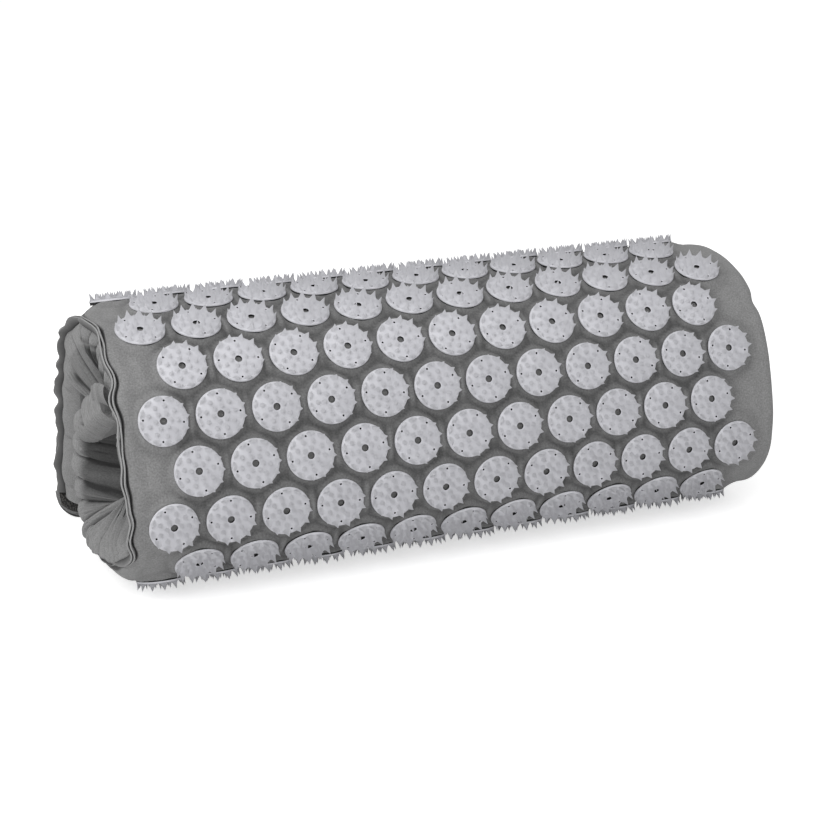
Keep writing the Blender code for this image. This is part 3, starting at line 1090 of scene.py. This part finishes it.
class MAT_OT_ends(bpy.types.Operator):
    """Closes both ends of the roll with the slack, gathered back cloth."""

    bl_idname = "mat.ends"
    bl_label = "Gathered ends"

    def execute(self, context):
        line = roll_line()
        for side, word in ((-1, "left"), (1, "right")):
            for segment in range(FIRST_CLOSED_SEGMENT, line.count + 2):
                low = line.bend_at[segment - 2]
                last = segment == line.count + 1
                high = line.end - INNER_END_GAP if last else line.bend_at[segment - 1]
                piece = end_section(f"end_{word}_{segment:02d}", low, high, side)
                self.settle(piece, segment)
            self.settle(bridge_section(f"end_{word}_bridge", side), line.count + 1)
        return {"FINISHED"}

    def settle(self, piece, segment):
        """Lets a piece ride on its segment, with a mesh of its own."""
        line = roll_line()
        middle = line.bend_at[segment - 2] + discs().row_spacing / 2
        (y, z), (ny, nz) = (v[0] for v in line.at([middle]))
        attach(piece, f"segment_{segment:02d}")
        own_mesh(piece)


class MAT_OT_cover(bpy.types.Operator):
    """Makes the padded cotton cover, one piece over each bend and one at each end."""

    bl_idname = "mat.cover"
    bl_label = "Padded cover"

    def execute(self, context):
        line = roll_line()
        half = discs().row_spacing / 2
        pieces = []
        for k in range(line.count):
            piece = cover_section(f"cover_{k + 1:02d}", line.bend_at[k] - half, line.bend_at[k] + half)
            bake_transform(piece)
            pieces.append(piece)
        tail = cover_section("cover_tail", line.start, line.bend_at[0] - half)
        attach(tail, "segment_01")
        inner = cover_section("cover_inner", line.bend_at[-1] + half, line.end)
        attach(inner, f"segment_{line.count + 1:02d}")
        pieces.append(inner)
        for number, piece in enumerate(pieces, start=1):
            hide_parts(f"back_cloth_{number:02d}", f"foam_segment_{number:02d}")
        return {"FINISHED"}


# The flap's half width, how far its hem reaches past the solid, its rounding and its thickness
FLAP_HALF_WIDTH = 208.5 * MM
FLAP_HEM = 2.5 * MM
FLAP_CORNER = 16 * MM
FLAP_THICKNESS = 1.4 * MM
# How far its free edge waves and curls inwards
FLAP_WAVE = 0.9 * MM
FLAP_CURL = 1.6 * MM
# How near the flap's furthest corner the other corners of its free edge lie
FLAP_EDGE = 2 * MM
# How far the tape's ends stay in from the flap's
TAPE_INSET = 2 * MM
# Sections from the root over the outer face, round the fuller hem and back: shares of the flap's
# length and of half its thickness
FLAP_ALONG = (0, 0.2, 0.45, 0.7, 0.86, 0.93, 0.97, 1, 1, 1, 0.97, 0.93, 0.86, 0.7, 0.45, 0.2, 0)
FLAP_LIFT = (1, 1, 1, 1, 1.35, 1.5, 1.3, 0.6, 0, -0.6, -1.3, -1.5, -1.35, -1, -1, -1, -1)
TAPE_ALONG = (0.1, 0.1, 0.5, 0.86, 0.86)
TAPE_LIFT = (-0.5, -1.9, -2.0, -1.9, -0.5)


class MAT_OT_flap(bpy.types.Operator):
    """Makes the closing flap at the tail, a hemmed double cloth with hook tape on its inner face."""

    bl_idname = "mat.flap"
    bl_label = "Closing flap"

    def execute(self, context):
        hinge = next(j for j in frame["joints"] if j["name"] == "flap_fold")
        self.root = np.array(hinge["pos_m"][1:])
        solid = bpy.data.objects["closing_flap"]
        corners = np.array([solid.matrix_world @ v.co for v in solid.data.vertices])[:, 1:]
        away = np.linalg.norm(corners - self.root, axis=1)
        far = corners[away > away.max() - FLAP_EDGE].mean(axis=0) - self.root
        self.length = away.max() + FLAP_HEM
        self.down = far / np.linalg.norm(far)
        self.out = np.array([-self.down[1], self.down[0]])
        if self.out[0] < 0:
            self.out = -self.out
        sheet = self.make_sheet()
        tape = self.make_tape()
        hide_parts("closing_flap")
        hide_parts("hook_tape")
        for piece, slot in ((sheet, "cotton"), (tape, "tape")):
            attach(piece, "flap")
        return {"FINISHED"}

    def reach_at(self, x):
        """The flap's length at x, less at its rounded corners."""
        past = np.clip(np.abs(x) - (FLAP_HALF_WIDTH - FLAP_CORNER), 0, FLAP_CORNER)
        return self.length - FLAP_CORNER + np.sqrt(FLAP_CORNER ** 2 - past ** 2)

    def surface(self, x, along, lift):
        """Points of the flap at a distance down from its root, lifted to its outer side."""
        wave = FLAP_WAVE * wander(x, 101, 0.07) * (along / self.length) ** 1.5
        curl = -FLAP_CURL * (along / self.length) ** 2
        flat = (self.root + along[..., None] * self.down + (lift + wave + curl)[..., None] * self.out)
        return np.stack([x, flat[..., 0], flat[..., 1]], axis=-1)

    def section(self, x, along_shares, lift_shares, short=0.0):
        """Points of a band round the flap at each x, and how far down each of them lies."""
        along = np.array(along_shares)[None, :] * (self.reach_at(x) - short)
        lift = np.broadcast_to(np.array(lift_shares)[None, :] * FLAP_THICKNESS / 2, along.shape)
        return self.surface(np.broadcast_to(x, along.shape), along, lift), along

    def make_sheet(self):
        """The doubled cloth, with finer columns at its rounded corners."""
        corner = np.linspace(0.955, 1, 14)
        x = np.concatenate([-corner[::-1], np.linspace(-0.955, 0.955, 130)[1:-1], corner]) * FLAP_HALF_WIDTH
        x_all = np.pad(x, GHOSTS, mode="edge")[:, None]
        grid, along = self.section(x_all, FLAP_ALONG, FLAP_LIFT)
        steps = np.concatenate([-np.arange(GHOSTS, 0, -1), np.zeros(len(x)), np.arange(1, GHOSTS + 1)])
        grid[..., 0] += steps[:, None] * 0.1 * MM
        inner_face = np.array(FLAP_LIFT)[None, :] < 0
        uv = np.stack([np.broadcast_to(x_all, along.shape) + 5, along + 0.03 * inner_face], axis=-1)
        work = Patchwork()
        work.add(grid, uv, -1)
        return work.make("closing_flap_cloth", [material_of("cotton_plain_weave")])

    def make_tape(self):
        """The hook tape on the flap's inner face."""
        x = np.linspace(-1, 1, 121)[:, None] * (FLAP_HALF_WIDTH - TAPE_INSET)
        grid, _ = self.section(x, TAPE_ALONG, TAPE_LIFT, short=0.6 * MM)
        work = Patchwork()
        wide = np.concatenate([grid[:1]] * GHOSTS + [grid] + [grid[-1:]] * GHOSTS)
        work.add(wide, np.zeros(wide.shape[:2] + (2,)), 1)
        return work.make("hook_tape_strip", [material_of("nylon_hook_tape")])


# Spiked discs

def deselect():
    """Leaves edit mode and deselects everything."""
    if bpy.context.mode != "OBJECT":
        bpy.ops.object.mode_set(mode="OBJECT")
    bpy.ops.object.select_all(action="DESELECT")


# A spike's flared foot: its share of the height, and its upper width as a share of the lower
FOOT_HEIGHT_SHARE = 0.3
FOOT_TOP_SHARE = 0.58
# How far a spike's shading turns with its sides: little, because light evens out inside the plastic
SPIKE_SHADING = 0.06


def model_spike():
    """One thorn-like spike on a flared foot, standing on its base at the origin."""
    d = discs()
    deselect()
    base = d.spike_base / 2
    foot = d.spike_height * FOOT_HEIGHT_SHARE
    bpy.ops.mesh.primitive_cone_add(
        vertices=6, radius1=base, radius2=base * FOOT_TOP_SHARE, depth=foot, end_fill_type="NOTHING",
        location=(0, 0, foot / 2))
    spike = bpy.context.object
    spike.name = "spike"
    bpy.ops.object.mode_set(mode="EDIT")
    bpy.ops.mesh.select_all(action="DESELECT")
    tip = d.spike_height - foot
    bpy.ops.mesh.primitive_cone_add(
        vertices=6, radius1=base * FOOT_TOP_SHARE, radius2=0, depth=tip, end_fill_type="NOTHING",
        location=(0, 0, foot + tip / 2))
    bpy.ops.mesh.select_all(action="SELECT")
    bpy.ops.mesh.remove_doubles(threshold=0.00002)
    bpy.ops.mesh.normals_make_consistent(inside=False)
    bpy.ops.object.mode_set(mode="OBJECT")
    bpy.ops.object.transform_apply(location=True, rotation=True, scale=True)
    bpy.ops.object.shade_smooth()
    normals = [(v.normal * SPIKE_SHADING + Vector((0, 0, 1))).normalized() for v in spike.data.vertices]
    spike.data.normals_split_custom_set_from_vertices(normals)
    spike.data.materials.append(material_of("abs_moulded"))
    return spike


# The plate's rounded upper edge: how far in and how far down it reaches
EDGE_IN = 0.45 * MM
EDGE_DOWN = 0.4 * MM
# Rings under the edge: height over the cloth in mm and share of the radius; the last are painted shade, a
# near-black band for the shadowed slit under the plate
RIM_RINGS = ((0.35, 1), (0.3, 0.98), (-1.2, 0.98))
# Where the stake holes lie, as a share of the radius, and the holes' bottom over the cloth
STAKE_SHARE = 0.81
HOLE_FLOOR = 0.1 * MM


def of_kind(kind, geometry):
    """The vertices, edges or faces among what an operation made."""
    return [part for part in geometry if isinstance(part, kind)]


def model_plate():
    """A disc's plate: a rounded rim, a centre hole and four stake holes."""
    d = discs()
    deselect()
    radius = d.diameter / 2
    bpy.ops.mesh.primitive_circle_add(vertices=44, radius=radius - EDGE_IN, location=(0, 0, d.plate))
    plate = bpy.context.object
    plate.name = "plate"
    bpy.ops.object.mode_set(mode="EDIT")
    bpy.ops.mesh.primitive_circle_add(vertices=14, radius=d.centre_hole / 2, location=(0, 0, d.plate))
    for quarter in range(4):
        turn = quarter * math.pi / 2
        spot = (STAKE_SHARE * radius * math.cos(turn), STAKE_SHARE * radius * math.sin(turn), d.plate)
        bpy.ops.mesh.primitive_circle_add(vertices=7, radius=d.stake_hole / 2, location=spot)
    bpy.ops.mesh.select_all(action="SELECT")
    bpy.ops.mesh.fill(use_beauty=True)
    bpy.ops.object.mode_set(mode="OBJECT")
    bpy.ops.object.transform_apply(location=True, rotation=True, scale=True)
    plate.data.materials.append(material_of("abs_moulded"))
    plate.data.materials.append(material_of("painted_hole_shade"))
    work = bmesh.new()
    work.from_mesh(plate.data)
    for face in work.faces:
        if face.normal.z < 0:
            face.normal_flip()
    rim = [e for e in work.edges if e.is_boundary]
    outer = [e for e in rim if e.verts[0].co.xy.length > radius * 0.95]
    holes = [e for e in rim if e not in outer]
    drawn = bmesh.ops.extrude_edge_only(work, edges=outer)["geom"]
    for vert in of_kind(bmesh.types.BMVert, drawn):
        vert.co.xy *= radius / (radius - EDGE_IN)
        vert.co.z -= EDGE_DOWN
    for height, width in RIM_RINGS:
        edges = of_kind(bmesh.types.BMEdge, drawn)
        drawn = bmesh.ops.extrude_edge_only(work, edges=edges)["geom"]
        for vert in of_kind(bmesh.types.BMVert, drawn):
            vert.co.xy *= width * radius / vert.co.xy.length
            vert.co.z = height * MM
        for face in of_kind(bmesh.types.BMFace, drawn):
            face.material_index = 1 if width < 1 else 0
    # The holes get walls and a floor of near-black painted shade
    drawn = bmesh.ops.extrude_edge_only(work, edges=holes)["geom"]
    for vert in of_kind(bmesh.types.BMVert, drawn):
        vert.co.z = HOLE_FLOOR
    for face in of_kind(bmesh.types.BMFace, drawn):
        face.material_index = 1
    floor_edges = of_kind(bmesh.types.BMEdge, drawn)
    stakes = [e for e in floor_edges if e.verts[0].co.xy.length > radius * 0.5]
    for face in bmesh.ops.holes_fill(work, edges=stakes, sides=8)["faces"]:
        face.material_index = 1
    bmesh.ops.recalc_face_normals(work, faces=work.faces)
    top = max(work.faces, key=lambda f: f.calc_area() if f.calc_center_median().z > d.plate - 1e-6 else 0)
    if top.normal.z < 0:
        bmesh.ops.reverse_faces(work, faces=work.faces)
    work.to_mesh(plate.data)
    work.free()
    deselect()
    plate.select_set(True)
    bpy.context.view_layer.objects.active = plate
    bpy.ops.object.shade_smooth_by_angle(angle=math.radians(50))
    return plate


# The rings of spikes: how many, share of the radius, turn of the first, lean outwards as a share of
# the height, and how much wider than a plain spike
SPIKE_RINGS = ((6, 0.31, 0.2, 0, 1), (9, 0.6, 0.1, 0, 1), (12, 0.88, 0.26, 0.34, 1.8))


def model_disc():
    """A whole disc at the origin, facing up: its plate and its three rings of spikes."""
    d = discs()
    plate, spike = model_plate(), model_spike()
    radius = d.diameter / 2
    deselect()
    copies = []
    for count, share, offset, lean, width in SPIKE_RINGS:
        for i in range(count):
            turn = offset + i * 2 * math.pi / count
            copy = spike.copy()
            copy.data = spike.data.copy()
            spot = Vector((share * radius * math.cos(turn), share * radius * math.sin(turn), d.plate))
            leaning = Matrix.Shear("XY", 4, (lean, 0)) @ Matrix.Diagonal((1, width, 1, 1))
            copy.data.transform(Matrix.Translation(spot) @ Matrix.Rotation(turn, 4, "Z") @ leaning)
            bpy.context.collection.objects.link(copy)
            copies.append(copy)
    for made in [plate] + copies:
        made.select_set(True)
    bpy.context.view_layer.objects.active = plate
    bpy.ops.object.join()
    bpy.data.objects.remove(spike)
    plate.name = "disc"
    return plate


# How far a disc may be tilted on the soft cloth, in radians
DISC_TILT = 0.02


def row_frame(row):
    """The matrix that puts a disc's middle and face on its row, at X 0."""
    line = roll_line()
    s = (row - 1) * discs().row_spacing
    (y, z), (ny, nz) = (v[0] for v in line.at([s]))
    height = cloth().face_height
    across = Vector((1, 0, 0))
    out = Vector((0, ny, nz))
    up = out.cross(across)
    turn = Matrix((across, up, out)).transposed().to_4x4()
    return Matrix.Translation((0, y + ny * height, z + nz * height)) @ turn


class MAT_OT_discs(bpy.types.Operator):
    """Models one spiked disc and sets its copies out in rows of twelve and eleven."""

    bl_idname = "mat.discs"
    bl_label = "Spiked discs"

    def execute(self, context):
        disc = model_disc()
        rng = random.Random(17)
        for row in range(1, ROWS + 1):
            base = row_frame(row)
            deselect()
            made = []
            for x in disc_positions(row):
                copy = disc.copy()
                copy.data = disc.data.copy()
                spin = Matrix.Rotation(rng.uniform(0, 2 * math.pi), 4, "Z")
                tilt = Matrix.Rotation(rng.uniform(-DISC_TILT, DISC_TILT), 4, "X")
                copy.data.transform(base @ Matrix.Translation((x, 0, 0)) @ tilt @ spin)
                context.collection.objects.link(copy)
                copy.select_set(True)
                made.append(copy)
            context.view_layer.objects.active = made[0]
            bpy.ops.object.join()
            piece = made[0]
            piece.name = f"discs_row_{row:02d}"
            segment = min(max(row - 1, 1), roll_line().count + 1)
            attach(piece, f"segment_{segment:02d}")
            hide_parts(f"disc_row_{row:02d}")
        bpy.data.objects.remove(disc)
        return {"FINISHED"}


# Stage

# How much the floor is lifted towards white where the camera sees it
FLOOR_LIFT = 0.6


class MAT_OT_stage(bpy.types.Operator):
    """Sets the pale floor, the soft studio light and the camera of the photograph's angle."""

    bl_idname = "mat.stage"
    bl_label = "Stage"

    def execute(self, context):
        scene = context.scene
        scene.view_settings.view_transform = "Standard"
        deselect()
        bpy.ops.mesh.primitive_plane_add(size=8, location=(0, 0, 0))
        floor = context.object
        floor.name = "floor"
        made, tree = new_material("studio_floor")
        path = add_node(tree, "ShaderNodeLightPath")
        coat = add_node(tree, "ShaderNodeTexNoise", {"Scale": 3, "Detail": 2})
        paint = add_node(tree, "ShaderNodeMapRange",
                         {"From Min": 0.0, "From Max": 1.0, "To Min": stage().floor[0] * 0.96,
                          "To Max": stage().floor[0] * 0.98}, {"Value": coat.outputs["Fac"]})
        matt = add_node(tree, "ShaderNodeBsdfDiffuse", None, {"Color": paint.outputs["Result"]})
        lift = add_node(tree, "ShaderNodeMath", {"operation": "MULTIPLY", 1: FLOOR_LIFT},
                        {0: path.outputs["Is Camera Ray"]})
        glow = add_node(tree, "ShaderNodeEmission", {"Color": (1, 1, 1, 1)},
                        {"Strength": lift.outputs["Value"]})
        both = add_node(tree, "ShaderNodeAddShader", None,
                        {0: matt.outputs["BSDF"], 1: glow.outputs["Emission"]})
        add_node(tree, "ShaderNodeOutputMaterial", None, {"Surface": both.outputs["Shader"]})
        floor.data.materials.append(made)
        self.light_world(scene)
        self.add_softbox(context, "softbox_above", stage().key, 2.4, (-0.9, -0.65, 1.6))
        self.add_softbox(context, "softbox_left", stage().fill, 1.0, (-0.95, -0.85, 0.5))
        self.add_softbox(context, "softbox_front", stage().front, 2.0, (0.45, -1.4, 0.7))
        self.place_camera(context)
        return {"FINISHED"}

    def light_world(self, scene):
        """Soft light from all round, and a white background for the camera."""
        world = bpy.data.worlds.new("studio")
        scene.world = world
        world.use_nodes = True
        tree = world.node_tree
        tree.nodes.clear()
        path = add_node(tree, "ShaderNodeLightPath")
        soft = add_node(tree, "ShaderNodeBackground", {"Color": (1, 1, 1, 1), "Strength": stage().ambient})
        white = add_node(tree, "ShaderNodeBackground", {"Color": (1, 1, 1, 1), "Strength": 1.0})
        choice = add_node(tree, "ShaderNodeMixShader", None,
                          {"Fac": path.outputs["Is Camera Ray"], 1: soft.outputs["Background"],
                           2: white.outputs["Background"]})
        add_node(tree, "ShaderNodeOutputWorld", None, {"Surface": choice.outputs["Shader"]})

    def add_softbox(self, context, name, watts, size, place):
        """A square area light at a place, aimed at the roll's middle."""
        lamp = bpy.data.lights.new(name, "AREA")
        lamp.energy = watts
        lamp.size = size
        softbox = bpy.data.objects.new(name, lamp)
        context.collection.objects.link(softbox)
        softbox.location = place
        aim = Vector((0, 0, 0.08)) - softbox.location
        softbox.rotation_euler = aim.to_track_quat("-Z", "Y").to_euler()

    def place_camera(self, context):
        """The camera, at the photograph's viewing angle."""
        data = bpy.data.cameras.new("camera")
        data.lens = 81.643
        data.sensor_width = 36
        data.clip_start = 0.01
        camera = bpy.data.objects.new("camera", data)
        context.collection.objects.link(camera)
        camera.location = (-0.436064, -1.034567, 0.451403)
        camera.rotation_euler = (math.radians(90 - 18.735), 0, math.radians(-22.936))
        context.scene.camera = camera


class VIEW3D_PT_mat(bpy.types.Panel):
    """Lists the pieces of the mat and their settings."""

    bl_label = "Acupressure mat"
    bl_idname = "VIEW3D_PT_mat"
    bl_space_type = "VIEW_3D"
    bl_region_type = "UI"
    bl_category = "Mat"

    def draw(self, context):
        for group in (context.scene.mat_discs, context.scene.mat_cloth, context.scene.mat_stage):
            box = self.layout.box()
            for name in group.bl_rna.properties.keys():
                if name not in ("rna_type", "name"):
                    box.prop(group, name)
        for operator in OPERATORS:
            self.layout.operator(operator.bl_idname)


OPERATORS = (MAT_OT_stage, MAT_OT_cover, MAT_OT_ends, MAT_OT_flap, MAT_OT_discs)
CLASSES = (MatDiscSettings, MatClothSettings, MatStageSettings, *OPERATORS, VIEW3D_PT_mat)


def register():
    """Registers the settings, the operators and the panel."""
    for made in CLASSES:
        bpy.utils.register_class(made)
    bpy.types.Scene.mat_discs = bpy.props.PointerProperty(type=MatDiscSettings)
    bpy.types.Scene.mat_cloth = bpy.props.PointerProperty(type=MatClothSettings)
    bpy.types.Scene.mat_stage = bpy.props.PointerProperty(type=MatStageSettings)


def unregister():
    """Takes back what register did."""
    for name in ("mat_discs", "mat_cloth", "mat_stage"):
        delattr(bpy.types.Scene, name)
    for made in reversed(CLASSES):
        bpy.utils.unregister_class(made)


def main():
    """Builds the whole mat and its stage."""
    register()
    bpy.ops.mat.stage()
    bpy.ops.mat.cover()
    bpy.ops.mat.ends()
    bpy.ops.mat.flap()
    bpy.ops.mat.discs()


if __name__ == "__main__":
    main()
